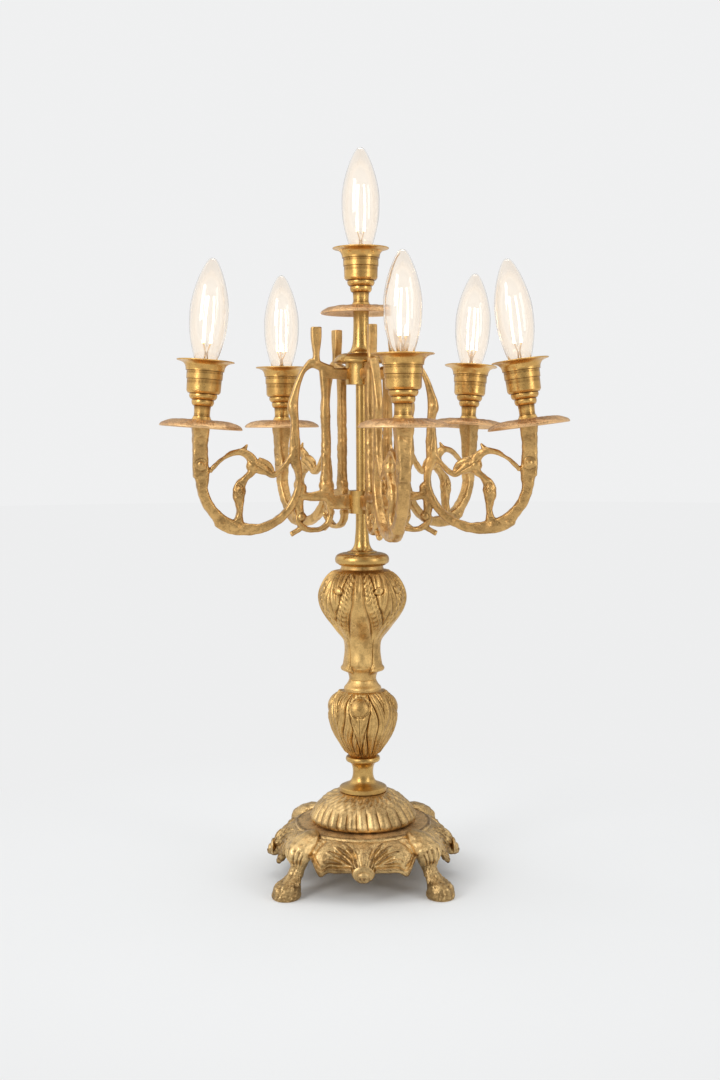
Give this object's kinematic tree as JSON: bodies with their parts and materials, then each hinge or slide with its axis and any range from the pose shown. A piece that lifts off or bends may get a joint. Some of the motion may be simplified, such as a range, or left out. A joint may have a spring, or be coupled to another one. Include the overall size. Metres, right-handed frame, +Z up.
{
  "type": "tabletop candelabra",
  "caption": "Electric tabletop candelabra of cast and turned brass: scroll arms round a baluster column on a footed base, with drip pans, candle cups and screw-in candle bulbs.",
  "frame": {"origin": "on the column's axis, level with the soles of the four feet", "axes": "+Z up along the column, -Y the front, +X to the right as seen from the front"},
  "size_m": [0.3535, 0.3273, 0.6387],
  "materials": {
    "cast_brass": "sand-cast, patinated, highlights rubbed bright",
    "turned_brass": "lathe-turned and polished, lightly tarnished",
    "pan_brass": "stippled and reddish on top, polished at the rim",
    "steel_hardware": "zinc plated",
    "bushing_plastic": "matte black",
    "lead_insulation": "dark insulation",
    "socket_plastic": "moulded dark brown",
    "socket_brass": "bare pressed brass",
    "bulb_cap": "pressed and bright",
    "bulb_glass": "clear and polished",
    "filament": "glowing rods on a clear stem"
  },
  "bodies": {
    "stand": {"base_casting": "cast_brass", "base_dome": "cast_brass", "pedestal_spool": "turned_brass", "lower_baluster": "cast_brass", "upper_baluster": "cast_brass", "column_disc": "turned_brass", "lower_bell": "turned_brass", "lower_spindle": "turned_brass", "lower_collar": "turned_brass", "column_tube": "turned_brass", "upper_collar": "turned_brass", "column_cap": "turned_brass", "upper_bell": "turned_brass", "upper_spindle": "turned_brass", "tie_rod": "steel_hardware", "base_washer": "steel_hardware", "base_nut": "steel_hardware", "cord_bushing": "bushing_plastic", "supply_leads": "lead_insulation", "arm_left": "cast_brass", "arm_front": "cast_brass", "arm_right": "cast_brass", "arm_back_right": "cast_brass", "arm_back_left": "cast_brass", "arm_screws": "steel_hardware", "nipples": "steel_hardware", "sockets": "socket_plastic", "socket_shells": "socket_brass", "socket_contacts": "socket_brass", "drip_pan_top": "pan_brass", "candle_cup_top": "turned_brass", "drip_pan_left": "pan_brass", "candle_cup_left": "turned_brass", "drip_pan_front": "pan_brass", "candle_cup_front": "turned_brass", "drip_pan_right": "pan_brass", "candle_cup_right": "turned_brass", "drip_pan_back_right": "pan_brass", "candle_cup_back_right": "turned_brass", "drip_pan_back_left": "pan_brass", "candle_cup_back_left": "turned_brass"},
    "bulb_cap_top": {"bulb_base_top": "bulb_cap"},
    "bulb_top": {"bulb_glass_top": "bulb_glass", "bulb_filament_top": "filament"},
    "bulb_cap_left": {"bulb_base_left": "bulb_cap"},
    "bulb_left": {"bulb_glass_left": "bulb_glass", "bulb_filament_left": "filament"},
    "bulb_cap_front": {"bulb_base_front": "bulb_cap"},
    "bulb_front": {"bulb_glass_front": "bulb_glass", "bulb_filament_front": "filament"},
    "bulb_cap_right": {"bulb_base_right": "bulb_cap"},
    "bulb_right": {"bulb_glass_right": "bulb_glass", "bulb_filament_right": "filament"},
    "bulb_cap_back_right": {"bulb_base_back_right": "bulb_cap"},
    "bulb_back_right": {"bulb_glass_back_right": "bulb_glass", "bulb_filament_back_right": "filament"},
    "bulb_cap_back_left": {"bulb_base_back_left": "bulb_cap"},
    "bulb_back_left": {"bulb_glass_back_left": "bulb_glass", "bulb_filament_back_left": "filament"}
  },
  "joints": [
    {"name": "bulb_top_rise", "type": "slide", "parent": "stand", "child": "bulb_cap_top", "axis": [0, 0, 1], "range_m": [0, 0.0103]},
    {"name": "bulb_top_turn", "type": "hinge", "parent": "bulb_cap_top", "child": "bulb_top", "pos_m": [0, 0, 0.5405], "axis": [0, 0, 1], "range_deg": [0, 1440]},
    {"name": "bulb_left_rise", "type": "slide", "parent": "stand", "child": "bulb_cap_left", "axis": [0.0731, 0.0169, 0.9972], "range_m": [0, 0.0103]},
    {"name": "bulb_left_turn", "type": "hinge", "parent": "bulb_cap_left", "child": "bulb_left", "pos_m": [-0.13416, -0.03097, 0.44058], "axis": [0.0731, 0.0169, 0.9972], "range_deg": [0, 1440]},
    {"name": "bulb_front_rise", "type": "slide", "parent": "stand", "child": "bulb_cap_front", "axis": [0, 0, 1], "range_m": [0, 0.0103]},
    {"name": "bulb_front_turn", "type": "hinge", "parent": "bulb_cap_front", "child": "bulb_front", "pos_m": [0.03268, -0.13716, 0.4407], "axis": [0, 0, 1], "range_deg": [0, 1440]},
    {"name": "bulb_right_rise", "type": "slide", "parent": "stand", "child": "bulb_cap_right", "axis": [-0.1253, 0.021, 0.9919], "range_m": [0, 0.0103]},
    {"name": "bulb_right_turn", "type": "hinge", "parent": "bulb_cap_right", "child": "bulb_right", "pos_m": [0.13839, -0.02316, 0.44034], "axis": [-0.1253, 0.021, 0.9919], "range_deg": [0, 1440]},
    {"name": "bulb_back_right_rise", "type": "slide", "parent": "stand", "child": "bulb_cap_back_right", "axis": [0.0564, 0.0545, 0.9969], "range_m": [0, 0.0103]},
    {"name": "bulb_back_right_turn", "type": "hinge", "parent": "bulb_cap_back_right", "child": "bulb_back_right", "pos_m": [0.10392, 0.10036, 0.44056], "axis": [0.0564, 0.0545, 0.9969], "range_deg": [0, 1440]},
    {"name": "bulb_back_left_rise", "type": "slide", "parent": "stand", "child": "bulb_cap_back_left", "axis": [0, 0, 1], "range_m": [0, 0.0103]},
    {"name": "bulb_back_left_turn", "type": "hinge", "parent": "bulb_cap_back_left", "child": "bulb_back_left", "pos_m": [-0.07679, 0.11825, 0.4407], "axis": [0, 0, 1], "range_deg": [0, 1440]}
  ],
  "couplings": [
    {"joint": "bulb_top_rise", "follows": "bulb_top_turn", "m_per_rad": 0.00040425},
    {"joint": "bulb_left_rise", "follows": "bulb_left_turn", "m_per_rad": 0.00040425},
    {"joint": "bulb_front_rise", "follows": "bulb_front_turn", "m_per_rad": 0.00040425},
    {"joint": "bulb_right_rise", "follows": "bulb_right_turn", "m_per_rad": 0.00040425},
    {"joint": "bulb_back_right_rise", "follows": "bulb_back_right_turn", "m_per_rad": 0.00040425},
    {"joint": "bulb_back_left_rise", "follows": "bulb_back_left_turn", "m_per_rad": 0.00040425}
  ]
}
